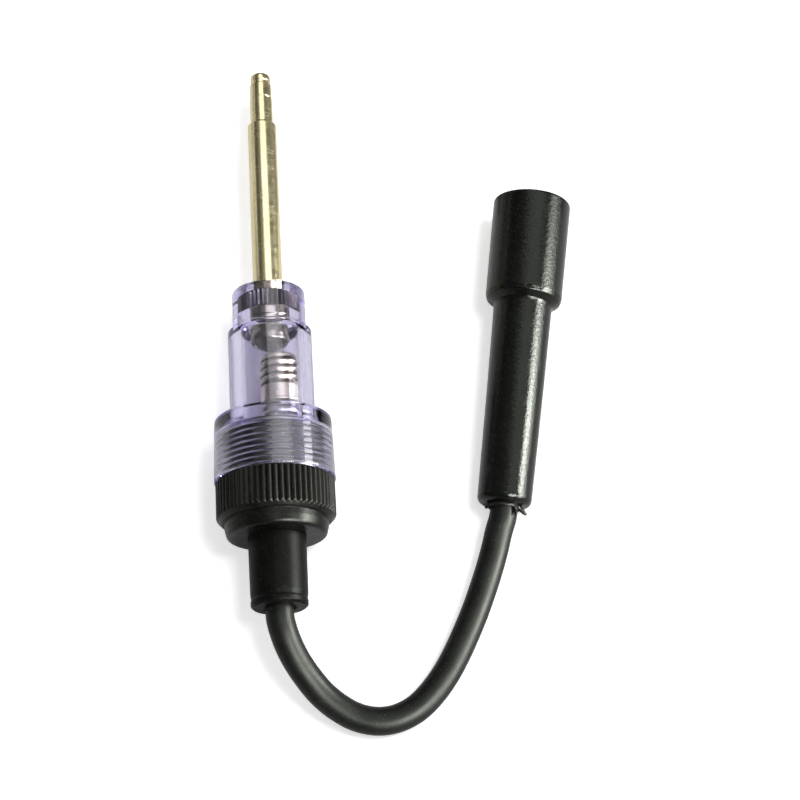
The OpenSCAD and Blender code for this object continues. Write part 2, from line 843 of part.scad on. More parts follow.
// Sleeve that lines the tail of the boot and shows as a lip round the lead
module boot_liner() {
    color([0.18, 0.18, 0.17])
        on_boot_axis()
            rotate_extrude()
                polygon([
                    [lead_bore_r, -liner_out],
                    [liner_d / 2 - 0.3, -liner_out],
                    [liner_d / 2, 0.3 - liner_out],
                    [liner_d / 2, liner_length - fit],
                    [lead_bore_r, liner_length - fit]
                ]);
}

// Snap socket for the plug nut, crimped on the lead
module socket_terminal() {
    groove_station = socket_mouth - ring_place;
    groove_half = ring_wire_d / 2 + 0.1;
    color("lightsteelblue")
        on_boot_axis()
            difference() {
                rotate_extrude()
                    polygon([
                        [lead_bore_r, crimp_end],
                        [crimp_r, crimp_end],
                        [crimp_r, web_bottom],
                        [socket_r, socket_floor],
                        [socket_r, groove_station - groove_half],
                        [socket_r - ring_groove_depth, groove_station - groove_half],
                        [socket_r - ring_groove_depth, groove_station + groove_half],
                        [socket_r, groove_station + groove_half],
                        [socket_r, socket_mouth],
                        [socket_d / 2 + 0.3, socket_mouth],
                        [socket_d / 2, socket_mouth - 0.3],
                        [socket_d / 2, socket_floor],
                        [core_bore_r, socket_floor],
                        [core_bore_r, web_bottom],
                        [lead_bore_r, web_bottom]
                    ]);
                translate([-slot_width / 2, -socket_d, socket_mouth - slot_length])
                    cube([slot_width, 2 * socket_d, slot_length + 1]);
            }
}

// Open wire ring that closes the slotted socket
module snap_ring() {
    color("gray")
        on_boot_axis()
            translate([0, 0, socket_mouth - ring_place])
                rotate([0, 0, ring_gap_angle / 2])
                    rotate_extrude(angle = 360 - ring_gap_angle)
                        translate([ring_r, 0])
                            circle(d = ring_wire_d, $fn = 24);
}

terminal_rod();
clear_housing();
lamp_contact();
lamp_insulator();
lamp_shell();
lamp_bulb();
electrode_left();
electrode_right();
lamp_spring();
lead_terminal();
knurled_cap();
neck_sleeve();
lead_jacket();
lead_core();
plug_boot();
boot_liner();
socket_terminal();
snap_ring();
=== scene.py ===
import math

import bmesh
import bpy
import numpy as np
from mathutils import Matrix, Vector


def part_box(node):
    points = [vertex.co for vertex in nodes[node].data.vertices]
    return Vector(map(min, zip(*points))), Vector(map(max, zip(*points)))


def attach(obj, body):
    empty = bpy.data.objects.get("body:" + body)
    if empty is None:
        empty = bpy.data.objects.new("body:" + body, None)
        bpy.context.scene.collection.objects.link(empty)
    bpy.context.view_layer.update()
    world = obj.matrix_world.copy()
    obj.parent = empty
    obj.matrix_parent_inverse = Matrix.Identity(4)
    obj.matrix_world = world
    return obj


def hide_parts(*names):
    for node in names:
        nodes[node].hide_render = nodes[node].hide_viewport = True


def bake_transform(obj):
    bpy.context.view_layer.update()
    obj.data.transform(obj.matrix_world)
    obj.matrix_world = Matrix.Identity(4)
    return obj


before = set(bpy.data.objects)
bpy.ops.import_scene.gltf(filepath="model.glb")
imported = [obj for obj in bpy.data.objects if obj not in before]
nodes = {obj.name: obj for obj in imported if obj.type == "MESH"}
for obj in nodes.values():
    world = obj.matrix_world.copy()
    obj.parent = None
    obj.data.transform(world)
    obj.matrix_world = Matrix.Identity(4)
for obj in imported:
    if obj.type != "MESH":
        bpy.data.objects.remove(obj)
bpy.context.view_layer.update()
scene = bpy.context.scene
scene.view_settings.view_transform = "Standard"

MM = 0.001
TURN = 2 * math.pi

# Stations along the body, in mm from the bottom of the clear housing towards the tip of the rod
SLEEVE_END, CAP_BOTTOM, CAP_LIP = -26.7, -12.0, -8.8
SEAT, SPIGOT_TOP, FLANGE_BORE_END, FLANGE_TOP = 5.5, 9.6, 10.4, 13.2
CONE_END, NOSE_END, BORE_END, SHOULDER = 28.5, 30.4, 32.5, 33.4
RING_LOW, KNURL_LOW, KNURL_HIGH, COLLAR_TOP = 35.7, 37.6, 41.4, 42.4
ROD_SHOULDER, BAND_LOW, BAND_HIGH, HEAD_LOW, TIP_END = 83.6, 90.0, 93.5, 94.3, 96.0
BODY_MIDDLE = 34.65
AXIS_HEIGHT = 12.5

# Radii of the body, in mm
ROD_R, ROD_NECK_R, SHANK_R = 3.175, 2.975, 4.0
TIP_R, BAND_R, TIP_GROOVE_R, HEAD_R = 2.5, 2.4, 2.05, 2.2
RIM_R, FLANGE_R, FLANGE_BORE_R = 12.5, 12.2, 10.5
BARREL_R, COLLAR_R, CHAMBER_R = 8.85, 7.75, 6.1
RIBS_R, LIP_R, SPIGOT_R, CAP_BORE_R = 12.25, 10.6, 10.4, 6.2
LAMP_RIM_R, SKIRT_R, SHELL_R, BULB_R = 4.15, 3.95, 3.75, 2.5
LEAD_R, LEAD_HOLE_R = 2.875, 2.995

# The boot, in mm, with stations from its tail
NECK_END, WIDE_START, BOOT_LENGTH = 44.6, 46.8, 68.7
LINER_TOP, CRIMP_END, MOUTH_BORE_END = 11.0, 27.9, 49.2
TAIL_R, NECK_R, WIDE_R, MOUTH_R = 5.675, 6.25, 8.2, 8.4
LINER_HOLE_R, TERMINAL_HOLE_R, MOUTH_BORE_R = 4.22, 4.45, 5.4
TAIL_X, TAIL_Y = 47, -40.3
BOOT_HEADING = math.radians(-9.6)
BOOT_TILT = math.asin((WIDE_R - TAIL_R) / WIDE_START)


# The frames that the pieces are drawn in
# Each has its own z along the piece's axis.
def station_of(point):
    return point.y / MM + BODY_MIDDLE


def on_axis(matrix, station):
    return matrix @ Vector((0, 0, station * MM))


BODY = Matrix(((1, 0, 0, 0), (0, 0, 1, -BODY_MIDDLE * MM), (0, -1, 0, AXIS_HEIGHT * MM), (0, 0, 0, 1)))

shell_low, shell_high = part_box("lamp_shell")
LAMP_LEAN = (shell_low.x + shell_high.x) / 2
LAMP = Matrix.Translation((LAMP_LEAN, 0, 0)) @ BODY
LAMP_BOTTOM, SHELL_TOP = station_of(shell_low), station_of(shell_high)
SHELL_THREAD = 5.7
RIM_TOP = LAMP_BOTTOM + 0.4
SKIRT_TOP = RIM_TOP + 3.4
THREAD_TOP = SKIRT_TOP + SHELL_THREAD

BOOT = (
    Matrix.Translation(Vector((TAIL_X, TAIL_Y, TAIL_R * math.cos(BOOT_TILT))) * MM)
    @ Matrix.Rotation(BOOT_HEADING, 4, "Z")
    @ Matrix.Rotation(BOOT_TILT - math.pi / 2, 4, "X")
)


# Camera
def aim(obj, stand, at):
    """Stands a camera or a light somewhere and points it at a place."""
    obj.location = stand
    obj.rotation_euler = (Vector(at) - Vector(stand)).to_track_quat("-Z", "Y").to_euler()


AZIMUTH, ELEVATION = math.radians(-3.42), math.radians(68.5)
DISTANCE = 0.4016
LOOK_AT = Vector((26.94, -13.25, 0)) * MM
camera = bpy.data.objects.new("camera", bpy.data.cameras.new("camera"))
scene.collection.objects.link(camera)
camera.data.sensor_width = 36
camera.data.lens = 83.7
camera.data.clip_start = 0.02
camera.data.clip_end = 20
back = Vector((
    math.sin(AZIMUTH) * math.cos(ELEVATION),
    -math.cos(AZIMUTH) * math.cos(ELEVATION),
    math.sin(ELEVATION),
))
aim(camera, LOOK_AT + back * DISTANCE, LOOK_AT)
scene.camera = camera

# Mesh helpers
# A rounded corner takes so many steps, and at most this share of its edges.
ROUND_STEPS = 6
ROUND_SHARE = 0.45
# Extra rows stand this close to the ends of a long edge, in mm, so that it shades flat.
SUPPORT = 0.1
# Faces that meet at more than this angle, in degrees, stay sharp.
KEEN = 38
# Points closer than MERGE are one point, and faces thinner than SLIVER go, in metres.
MERGE = 2e-7
SLIVER = 1e-8
# The wrap counts one for each stretch of this length along a piece, in mm.
WRAP = 10
CURVE_STEPS = 24


def smoothstep(low, high, value):
    t = np.clip((value - low) / (high - low), 0, 1)
    return t * t * (3 - 2 * t)


def outline(*corners, loop=True):
    """A profile of (radius, station) points in mm. A corner's third number is the radius that rounds it."""
    points = []
    count = len(corners)
    for i, corner in enumerate(corners):
        here = np.array(corner[:2], float)
        rounding = corner[2] if len(corner) > 2 else 0
        if rounding <= 0 or (not loop and i in (0, count - 1)):
            points.append(here)
            continue
        before = np.array(corners[i - 1][:2], float) - here
        after = np.array(corners[(i + 1) % count][:2], float) - here
        reach_before, reach_after = np.linalg.norm(before), np.linalg.norm(after)
        before, after = before / reach_before, after / reach_after
        half = math.acos(float(np.clip(before @ after, -1, 1))) / 2
        reach = min(rounding / math.tan(half), ROUND_SHARE * reach_before, ROUND_SHARE * reach_after)
        start, end = here + before * reach, here + after * reach
        for k in range(ROUND_STEPS + 1):
            w = k / ROUND_STEPS
            points.append((1 - w) ** 2 * start + 2 * w * (1 - w) * here + w * w * end)
    full = []
    for i, here in enumerate(points):
        full.append(here)
        if not loop and i == len(points) - 1:
            break
        step = points[(i + 1) % len(points)] - here
        length = np.linalg.norm(step)
        if length > 5 * SUPPORT:
            full += [here + step * SUPPORT / length, here + step * (1 - SUPPORT / length)]
    return np.array(full)


def arc(middle, wide, high, start, end, count=9):
    """Points on a stretch of an ellipse, between two angles in degrees that count from outwards to up."""
    angles = np.radians(np.linspace(start, end, count))
    return [(middle[0] + wide * math.cos(a), middle[1] + high * math.sin(a)) for a in angles]


def fine(start, end, step):
    """Close points on the line from start to end, without its two ends."""
    start, end = np.array(start, float), np.array(end, float)
    count = max(2, math.ceil(np.linalg.norm(end - start) / step))
    return [tuple(start + (end - start) * k / count) for k in range(1, count)]


def run_along(line):
    """How far along a line of points each point lies."""
    return np.append(0, np.cumsum(np.linalg.norm(np.diff(line, axis=0), axis=1)))


def skin(name, grid, matrix, loop, along, keen=KEEN):
    """A mesh over rows of points that each close on themselves. Open ends are capped.
    along is each row's place in the wrap."""
    rows, around = grid.shape[:2]
    index = np.arange(rows * around).reshape(rows, around)
    low = index if loop else index[:-1]
    high = np.roll(index, -1, axis=0) if loop else index[1:]
    quads = np.stack([low, np.roll(low, -1, 1), np.roll(high, -1, 1), high], -1).reshape(-1, 4)
    faces = quads.tolist()
    if not loop:
        faces += [index[0][::-1].tolist(), index[-1].tolist()]
    mesh = bpy.data.meshes.new(name)
    mesh.from_pydata(grid.reshape(-1, 3).tolist(), [], faces)
    left = np.tile(np.arange(around) / around, (len(low), 1))
    right = left + 1 / around
    ends = np.append(along[1:], along[-1] + along[1]) if loop else along[1:]
    below = np.repeat(along[: len(low)][:, None], around, 1)
    above = np.repeat(ends[:, None], around, 1)
    corners = ((left, below), (right, below), (right, above), (left, above))
    wrap = np.stack([np.stack(corner, -1) for corner in corners], 2).reshape(-1)
    flat = np.zeros(len(mesh.loops) * 2)
    flat[: len(wrap)] = wrap
    mesh.uv_layers.new(name="wrap").data.foreach_set("uv", flat)
    work = bmesh.new()
    work.from_mesh(mesh)
    bmesh.ops.remove_doubles(work, verts=work.verts, dist=MERGE)
    bmesh.ops.dissolve_degenerate(work, dist=SLIVER, edges=work.edges)
    bmesh.ops.recalc_face_normals(work, faces=work.faces)
    work.to_mesh(mesh)
    work.free()
    mesh.polygons.foreach_set("use_smooth", [True] * len(mesh.polygons))
    mesh.set_sharp_from_angle(angle=math.radians(keen))
    obj = bpy.data.objects.new(name, mesh)
    scene.collection.objects.link(obj)
    obj.matrix_world = matrix
    return obj


def lathe(name, profile, matrix, around, loop=True, shape=None, keen=KEEN):
    """A turned piece. shape may move its points: it takes radius, station and angle, and gives the first
    two back."""
    radius, station = profile[:, :1], profile[:, 1:]
    angle = np.arange(around)[None, :] / around * TURN
    if shape:
        radius, station = shape(radius, station, angle)
    radius, station, angle = np.broadcast_arrays(radius, station, angle)
    grid = np.stack([radius * np.cos(angle), radius * np.sin(angle), station], -1) * MM
    return skin(name, grid, matrix, loop, run_along(profile) / WRAP, keen)


def smooth_line(points, step):
    """Evenly spaced points on one smooth curve through the given points."""
    points = [np.array(p, float) for p in points]
    points = [2 * points[0] - points[1]] + points + [2 * points[-1] - points[-2]]
    line = []
    for a, b, c, d in zip(points, points[1:], points[2:], points[3:]):
        ta = np.linalg.norm(b - a) ** 0.5
        tb = ta + np.linalg.norm(c - b) ** 0.5
        tc = tb + np.linalg.norm(d - c) ** 0.5
        for t in np.linspace(ta, tb, CURVE_STEPS, endpoint=False):
            p = (ta - t) / ta * a + t / ta * b
            q = (tb - t) / (tb - ta) * b + (t - ta) / (tb - ta) * c
            r = (tc - t) / (tc - tb) * c + (t - tb) / (tc - tb) * d
            s = (tb - t) / tb * p + t / tb * q
            u = (tc - t) / (tc - ta) * q + (t - ta) / (tc - ta) * r
            line.append((tb - t) / (tb - ta) * s + (t - ta) / (tb - ta) * u)
    line = np.array(line + [points[-2]])
    run = run_along(line)
    marks = np.linspace(0, run[-1], max(2, round(run[-1] / step) + 1))
    return np.stack([np.interp(marks, run, line[:, k]) for k in range(3)], -1)


def tube(name, line, matrix, radius, sides):
    """A round rod that follows a line. Both are in metres."""
    tangent = np.gradient(line, axis=0)
    tangent /= np.linalg.norm(tangent, axis=1)[:, None]
    across = np.cross(tangent[0], (0, 0, 1) if abs(tangent[0][2]) < 0.9 else (1, 0, 0))
    angle = np.arange(sides) / sides * TURN
    rows = []
    for point, ahead in zip(line, tangent):
        across = across - ahead * (across @ ahead)
        across /= np.linalg.norm(across)
        upright = np.cross(ahead, across)
        rows.append(point + radius * (np.cos(angle)[:, None] * across + np.sin(angle)[:, None] * upright))
    return skin(name, np.array(rows), matrix, False, run_along(line) / MM / WRAP)


def settle(obj):
    """Puts a tilted piece's place into its mesh, so that its box is no larger than the piece."""
    obj.data.transform(obj.matrix_world)
    obj.matrix_world = Matrix.Identity(4)


def coat(obj, material):
    obj.data.materials.clear()
    obj.data.materials.append(material)


def place(obj, body, slot, material, *replaced):
    """Coats a drawn piece, hangs it on its body if it has one, and hides the parts that it replaces."""
    coat(obj, material)
    if body:
        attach(obj, body)
    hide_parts(*replaced)


# Materials
class Paint:
    """A node material around one principled shader."""

    def __init__(self, name, **values):
        self.material = bpy.data.materials.new(name)
        self.material.use_nodes = True
        self.tree = self.material.node_tree
        self.tree.nodes.clear()
        self.shader = self.tree.nodes.new("ShaderNodeBsdfPrincipled")
        self.output = self.tree.nodes.new("ShaderNodeOutputMaterial")
        self.tree.links.new(self.shader.outputs[0], self.output.inputs["Surface"])
        self.set(**values)

    def set(self, **values):
        for key, value in values.items():
            self.put(self.shader.inputs[key.replace("_", " ")], value)

    def put(self, socket, value):
        if isinstance(value, bpy.types.NodeSocket):
            self.tree.links.new(value, socket)
        elif socket.type == "RGBA":
            socket.default_value = (*value, 1)
        else:
            socket.default_value = value

    def node(self, kind, sockets, **settings):
        made = self.tree.nodes.new("ShaderNode" + kind)
        for key, value in settings.items():
            setattr(made, key, value)
        for key, value in sockets.items():
            self.put(made.inputs[key], value)
        return made

    def coords(self, kind, *scale):
        source = self.node("TexCoord", {}).outputs[kind]
        return self.node("Mapping", {"Vector": source, "Scale": scale}).outputs[0]

    def noise(self, vector, scale, detail, roughness, distortion=0.0):
        return self.node("TexNoise", {
            "Vector": vector, "Scale": scale, "Detail": detail,
            "Roughness": roughness, "Distortion": distortion,
        }).outputs["Fac"]

    def remap(self, value, low, high, to_low, to_high):
        return self.node("MapRange", {
            "Value": value, "From Min": low, "From Max": high, "To Min": to_low, "To Max": to_high,
        }).outputs[0]

    def mix(self, factor, a, b):
        return self.node("Mix", {0: factor, 6: a, 7: b}, data_type="RGBA").outputs[2]

    def combine(self, operation, a, b):
        return self.node("Math", {0: a, 1: b}, operation=operation).outputs[0]

    def sum(self, a, b):
        return self.combine("ADD", a, b)

    def least(self, a, b):
        return self.combine("MINIMUM", a, b)

    def station(self):
        """The height along the piece's own axis, in mm."""
        point = self.node("TexCoord", {}).outputs["Object"]
        height = self.node("SeparateXYZ", {0: point}).outputs[2]
        return self.combine("MULTIPLY", height, 1 / MM)

    def reach(self):
        """The distance from the piece's own axis, in mm."""
        point = self.node("TexCoord", {}).outputs["Object"]
        flat = self.node("VectorMath", {0: point, 1: (1 / MM, 1 / MM, 0)}, operation="MULTIPLY").outputs[0]
        return self.node("VectorMath", {0: flat}, operation="LENGTH").outputs["Value"]

    def band(self, value, low, high, edge, most=1.0):
        """Up to most between low and high, and 0 outside them."""
        rise = self.remap(value, low - edge, low, 0, most)
        fall = self.remap(value, high, high + edge, most, 0)
        return self.least(rise, fall)

    def bump(self, height, strength, distance, normal=None):
        sockets = {"Height": height, "Strength": strength, "Distance": distance}
        if normal:
            sockets["Normal"] = normal
        return self.node("Bump", sockets).outputs[0]


def rod_plating():
    """Yellow plating with drifting tone, a copper blush and dark spots. Inside the housing the ring is
    painted greyer and darker, and the knurl and the nose are painted dark, as painted shade."""
    bright, deep = (0.80, 0.72, 0.45), (0.70, 0.62, 0.35)
    blushed, spotted = (0.76, 0.56, 0.42), (0.36, 0.29, 0.15)
    # The ring, knurl and nose tones are painted shade, darker than the plating itself.
    ring, knurl, nose = (0.42, 0.42, 0.37), (0.092, 0.084, 0.10), (0.09, 0.09, 0.08)
    p = Paint("rod_plating", Metallic=1.0)
    body = p.coords("Object", 1, 1, 1)
    station = p.station()
    drift = p.noise(p.coords("Object", 160, 160, 60), scale=1, detail=3, roughness=0.6, distortion=0.4)
    blush = p.noise(body, scale=420, detail=4, roughness=0.65)
    spots = p.noise(body, scale=1500, detail=2, roughness=0.5)
    rings = p.noise(p.coords("UV", 3, 42, 1), scale=1, detail=3, roughness=0.6)
    tone = p.mix(p.remap(drift, 0.35, 0.68, 0, 1), bright, deep)
    tone = p.mix(p.remap(blush, 0.56, 0.74, 0, 0.5), tone, blushed)
    tone = p.mix(p.remap(spots, 0.60, 0.76, 0, 0.55), tone, spotted)
    # Painted shade inside the housing: the ring greyer, the knurl and the nose dark.
    tone = p.mix(p.remap(station, KNURL_LOW - 0.2, KNURL_LOW, 0.8, 0), tone, ring)
    tone = p.mix(p.band(station, KNURL_LOW, KNURL_HIGH, 0.1, 0.95), tone, knurl)
    tone = p.mix(p.remap(station, NOSE_END - 0.6, NOSE_END + 1.6, 0.9, 0), tone, nose)
    wear = p.remap(p.sum(rings, blush), 0.7, 1.35, 0.15, 0.31)
    p.set(
        Base_Color=tone,
        Roughness=p.sum(wear, p.band(station, KNURL_LOW, KNURL_HIGH, 0.1, 0.2)),
        Normal=p.bump(rings, 0.18, 0.00003, p.bump(drift, 0.10, 0.0003)),
    )
    return p.material


def clear_plastic():
    """Clear plastic with a violet tint. The thread in the flange and the rings on its outside are duller."""
    thread_dull, ring_dull = 0.2, 0.07
    p = Paint("clear_plastic", Transmission_Weight=1.0, IOR=1.56, Base_Color=(0.95, 0.94, 0.98))
    station = p.station()
    reach = p.reach()
    waves = p.noise(p.coords("Object", 130, 130, 60), scale=1, detail=2, roughness=0.5)
    scuffs = p.noise(p.coords("UV", 30, 14, 1), scale=1, detail=5, roughness=0.7, distortion=1.2)
    dust = p.noise(p.coords("Object", 1, 1, 1), scale=900, detail=3, roughness=0.6)
    inside = p.least(
        p.band(station, 0.3, FLANGE_BORE_END - 0.2, 0.2, thread_dull),
        p.remap(reach, FLANGE_BORE_R + 0.1, FLANGE_BORE_R + 0.3, thread_dull, 0),
    )
    outside = p.least(
        p.band(station, 0.3, FLANGE_TOP - 1, 0.6, ring_dull),
        p.remap(reach, FLANGE_R - 0.6, FLANGE_R - 0.3, 0, ring_dull),
    )
    wear = p.remap(p.sum(scuffs, dust), 0.85, 1.35, 0.008, 0.06)
    p.set(
        Roughness=p.sum(wear, p.sum(inside, outside)),
        Normal=p.bump(scuffs, 0.02, 0.00002, p.bump(waves, 0.02, 0.0004)),
    )
    tint = p.node("VolumeAbsorption", {"Color": (0.46, 0.38, 0.80), "Density": 62.0})
    p.tree.links.new(tint.outputs[0], p.output.inputs["Volume"])
    return p.material


def metal(name, tone, other, rough, grain, stretch=None, roots=None):
    """Bare or plated metal with fine marks. stretch sets the marks' run in the wrap's two directions.
    roots gives the stations and the reaches between which a thread's grooves are darkened with painted shade."""
    # Painted shade for the roots of a thread.
    groove_shade = (0.11, 0.095, 0.07)
    p = Paint(name, Metallic=1.0)
    body = p.coords("Object", 1, 1, 1)
    patches = p.noise(body, scale=380, detail=4, roughness=0.62)
    if stretch:
        marks = p.noise(p.coords("UV", *stretch, 1), scale=1, detail=4, roughness=0.6)
    else:
        marks = p.noise(body, scale=2600, detail=3, roughness=0.6)
    shade = p.mix(p.remap(patches, 0.36, 0.68, 0, 1), tone, other)
    if roots:
        # The grooves between the ridges get painted shade.
        low, high, deep, proud = roots
        groove = p.least(p.band(p.station(), low, high, 0.2), p.remap(p.reach(), deep, proud, 1, 0))
        shade = p.mix(groove, shade, groove_shade)
    p.set(
        Base_Color=shade,
        Roughness=p.remap(p.sum(patches, marks), 0.7, 1.35, *rough),
        Normal=p.bump(marks, grain, 0.00003),
    )
    return p.material


def black(name, tone, dust, rough, stretch, grain, skin_scale, skin_depth, level=0.5):
    """Black rubber or plastic: a dark tone with duller, dusty patches, pale specks, fine marks and a moulded
    skin. level is how strongly it reflects."""
    speck = [3.5 * part for part in dust]
    p = Paint(name, Specular_IOR_Level=level, Specular_Tint=(0.94, 1.0, 0.87))
    body = p.coords("Object", 1, 1, 1)
    patches = p.noise(body, scale=210, detail=5, roughness=0.62, distortion=0.3)
    marks = p.noise(p.coords("UV", *stretch, 1), scale=1, detail=4, roughness=0.62)
    face = p.noise(body, scale=skin_scale, detail=3, roughness=0.6)
    specks = p.noise(body, scale=2400, detail=2, roughness=0.5)
    shade = p.mix(p.remap(patches, 0.42, 0.74, 0, 1), tone, dust)
    p.set(
        Base_Color=p.mix(p.remap(specks, 0.60, 0.76, 0, 1), shade, speck),
        Roughness=p.remap(p.sum(patches, marks), 0.72, 1.32, *rough),
        Normal=p.bump(marks, grain, 0.00004, p.bump(face, skin_depth, 0.0002)),
    )
    return p.material


def thin_glass(name, tone):
    p = Paint(name, Transmission_Weight=1.0, IOR=1.5, Base_Color=tone)
    film = p.noise(p.coords("Object", 300, 300, 300), scale=1, detail=3, roughness=0.6)
    p.set(Roughness=p.remap(film, 0.35, 0.7, 0.0, 0.06), Normal=p.bump(film, 0.05, 0.0003))
    return p.material


PLATING = rod_plating()
CLEAR = clear_plastic()
# The shell's thread grooves carry painted shade.
NICKEL = metal(
    "nickel", tone=(0.68, 0.63, 0.54), other=(0.58, 0.54, 0.44), rough=(0.24, 0.38), grain=0.03,
    stretch=(6, 30), roots=(SKIRT_TOP - 0.1, THREAD_TOP, SHELL_R + 0.05, SHELL_R + 0.22),
)
SOLDER = metal("solder", tone=(0.46, 0.46, 0.43), other=(0.30, 0.30, 0.28), rough=(0.32, 0.55), grain=0.35)
STEEL = metal(
    "spring_steel", tone=(0.70, 0.69, 0.67), other=(0.56, 0.55, 0.53), rough=(0.22, 0.40), grain=0.20,
    stretch=(26, 2),
)
WIRE = metal("electrode", tone=(0.56, 0.56, 0.55), other=(0.44, 0.44, 0.43), rough=(0.28, 0.46), grain=0.15)
BRASS = metal(
    "contact_brass", tone=(0.80, 0.66, 0.36), other=(0.66, 0.52, 0.27), rough=(0.20, 0.38), grain=0.12,
)
ZINC = metal(
    "socket_steel", tone=(0.70, 0.70, 0.68), other=(0.58, 0.59, 0.60), rough=(0.24, 0.44), grain=0.16,
)
CAP_BLACK = black(
    "black_plastic", tone=(0.0045, 0.0045, 0.004), dust=(0.010, 0.010, 0.008), rough=(0.26, 0.40),
    stretch=(30, 8), grain=0.08, skin_scale=1800, skin_depth=0.12, level=0.14,
)
SLEEVE_BLACK = black(
    "sleeve_plastic", tone=(0.003, 0.0032, 0.003), dust=(0.006, 0.006, 0.0056), rough=(0.34, 0.46),
    stretch=(36, 5), grain=0.08, skin_scale=1800, skin_depth=0.10, level=0.065,
)
LEAD_BLACK = black(
    "lead_rubber", tone=(0.005, 0.0055, 0.005), dust=(0.010, 0.0105, 0.0095), rough=(0.36, 0.50),
    stretch=(34, 0.9), grain=0.12, skin_scale=1800, skin_depth=0.08, level=0.18,
)
BOOT_BLACK = black(
    "boot_rubber", tone=(0.0036, 0.0042, 0.0036), dust=(0.006, 0.0066, 0.0056), rough=(0.12, 0.22),
    stretch=(26, 3), grain=0.05, skin_scale=1500, skin_depth=0.32, level=0.22,
)
LINER_BLACK = black(
    "liner_rubber", tone=(0.006, 0.0062, 0.0058), dust=(0.014, 0.014, 0.013), rough=(0.30, 0.50),
    stretch=(20, 20), grain=0.25, skin_scale=3000, skin_depth=0.2, level=0.3,
)
DARK_GLASS = black(
    "dark_glass", tone=(0.02, 0.026, 0.022), dust=(0.035, 0.04, 0.034), rough=(0.08, 0.2),
    stretch=(8, 20), grain=0.05, skin_scale=1500, skin_depth=0.05,
)
BULB_GLASS = thin_glass("bulb_glass", (0.97, 0.97, 0.97))

# The lead
# The route is the one in part.scad, in metres. It starts at the end of the sleeve and ends at the boot.
LEAD_ROUTE = [
    (0, -0.0633, 0.0125), (0.0005, -0.0658, 0.012), (0.0015, -0.0688, 0.0108), (0.003, -0.0718, 0.0093),
    (0.005, -0.0748, 0.0076), (0.0075, -0.0778, 0.006), (0.0105, -0.0803, 0.0047), (0.014, -0.0823, 0.0037),
    (0.018, -0.0833, 0.0032), (0.022, -0.083, 0.003), (0.026, -0.0813, 0.003), (0.0294, -0.0784, 0.003),
    (0.0325, -0.0746, 0.003), (0.035, -0.0706, 0.003), (0.0373, -0.0663, 0.0031), (0.0394, -0.062, 0.0033),
    (0.0413, -0.0576, 0.0036), (0.043, -0.0533, 0.004), (0.0444, -0.0493, 0.0045), (0.0455, -0.0457, 0.005),
]
LEAD_STEP = 0.0006
in_body = [on_axis(BODY, station) for station in (2.5, -8, -18, SLEEVE_END)]
in_boot = [on_axis(BOOT, station) for station in (-2.3, 6, 18, 34)]
lead_line = smooth_line(in_body + LEAD_ROUTE + in_boot, LEAD_STEP)
lead = tube("lead", lead_line, Matrix.Identity(4), radius=LEAD_R * MM, sides=40)
place(lead, "cap", "lead_rubber", LEAD_BLACK, "lead_jacket", "lead_core")

# The boot on the lead
# Each wave of the wobble has its pace along the boot, its count round it and two starting angles.
WOBBLE_DEPTH = 0.022
rng = np.random.default_rng(7)
WOBBLE = [
    (rng.uniform(0.05, 0.16), int(rng.integers(1, 4)), rng.uniform(0, TURN), rng.uniform(0, TURN))
    for _ in range(5)
]


def boot_shape(radius, station, angle):
    """Moulded rubber isn't quite true: its outside sinks a few hundredths of a millimetre here and there."""
    soft = sum(np.sin(station * f + a) * np.cos(angle * k + b) for f, k, a, b in WOBBLE)
    return radius + WOBBLE_DEPTH * soft * (radius > 5), station


boot_profile = outline(
    # The tail, turned in to the lead
    (LINER_HOLE_R, 0.95), (3.3, 0.75, 0.1), (3.3, 0.04, 0.15), *arc((4.25, 1.5), 1.435, 1.5, -90, 0),
    # The neck and the shoulder
    *fine((TAIL_R, 1), (NECK_R, NECK_END - 0.4), 2.5)[1:-1], (NECK_R, NECK_END - 0.5, 0.5),
    (NECK_R + 0.2, NECK_END + 0.05, 0.3), (WIDE_R - 0.3, NECK_END + 1.15, 0.5),
    (WIDE_R, WIDE_START - 0.1, 0.5),
    # The wide end and its mouth
    *fine((WIDE_R, WIDE_START + 0.1), (MOUTH_R, BOOT_LENGTH), 2.5)[1:-1], (MOUTH_R, BOOT_LENGTH, 0.55),
    (MOUTH_BORE_R + 0.6, BOOT_LENGTH, 0.2), (MOUTH_BORE_R, BOOT_LENGTH - 0.6, 0.1),
    # The bore, the room for the terminal, the hole for the lead and the room for the liner
    (MOUTH_BORE_R, MOUTH_BORE_END, 0.3), (TERMINAL_HOLE_R, MOUTH_BORE_END - 0.8, 0.1),
    (TERMINAL_HOLE_R, CRIMP_END), (LEAD_HOLE_R, CRIMP_END), (LEAD_HOLE_R, LINER_TOP),
    (LINER_HOLE_R, LINER_TOP),
)
boot = lathe("boot", boot_profile, BOOT, around=160, shape=boot_shape)
settle(boot)
place(boot, "cap", "boot_rubber", BOOT_BLACK, "plug_boot")

# The liner in the boot's tail
# Its edge is torn at so many points. Each flap has its place round the lead and its width, in radians,
# and how far it stands out and down, in mm.
TEAR_POINTS = 40
torn = np.tile(rng.uniform(-1, 1, TEAR_POINTS), 3)
TEAR = np.convolve(torn, np.ones(3) / 3, "same")[TEAR_POINTS : 2 * TEAR_POINTS]
FLAPS = ((6.05, 0.22, 1.5, 1.2), (5.5, 0.12, 0.4, 1.9), (3.4, 0.22, 0.6, 0.6))
LINER_R, LINER_LIP_R, LINER_LIP_END = 4.2, 3.26, -0.75


def liner_shape(radius, station, angle):
    """The liner's cut end is thin and ragged. Torn flaps stand out on the right, a small one on the left."""
    tear = np.interp(angle, np.arange(TEAR_POINTS + 1) / TEAR_POINTS * TURN, np.append(TEAR, TEAR[0]))
    out = smoothstep(0.6, -0.25, station)
    radius = radius + 0.03 * out * tear
    station = station - 0.12 * out * tear
    for at, wide, outwards, downwards in FLAPS:
        flap = out * np.exp(-(((angle - at) / wide) ** 2))
        radius = radius + outwards * flap
        station = station - downwards * flap
    return radius, station


